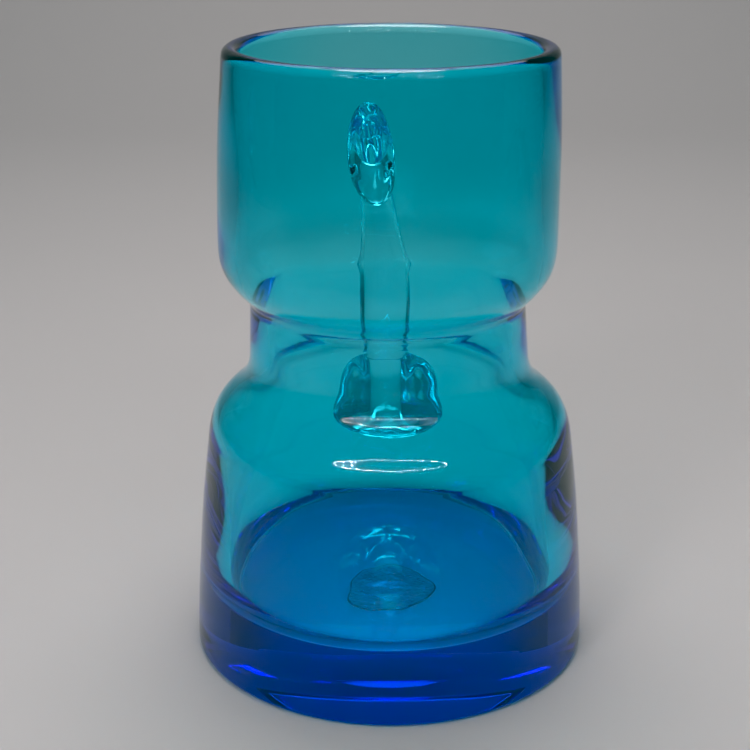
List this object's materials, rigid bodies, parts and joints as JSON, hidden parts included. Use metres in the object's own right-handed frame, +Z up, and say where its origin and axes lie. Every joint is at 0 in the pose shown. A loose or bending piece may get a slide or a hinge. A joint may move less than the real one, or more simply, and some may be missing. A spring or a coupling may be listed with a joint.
{
  "type": "glass mug",
  "caption": "Hand-blown hourglass mug: tinted body with waist and thick base, applied clear strap handle.",
  "frame": {"origin": "in the plane the mug stands on, under the middle of the box round body and handle; the body's axis stands 10.99 mm in front of it, at y = -0.01099", "axes": "+Z up, along the body's axis; +Y from the body to the handle; +X to the right with the handle behind"},
  "size_m": [0.0926, 0.1144, 0.14],
  "materials": {
    "tinted_glass": "fire-polished turquoise glass, tinted through its whole thickness",
    "clear_glass": "fire-polished colourless glass",
    "broken_glass": "broken, conchoidal, partly melted smooth"
  },
  "bodies": {
    "root": {"body": "tinted_glass", "handle": "clear_glass", "pontil_scar": "broken_glass"}
  },
  "joints": []
}
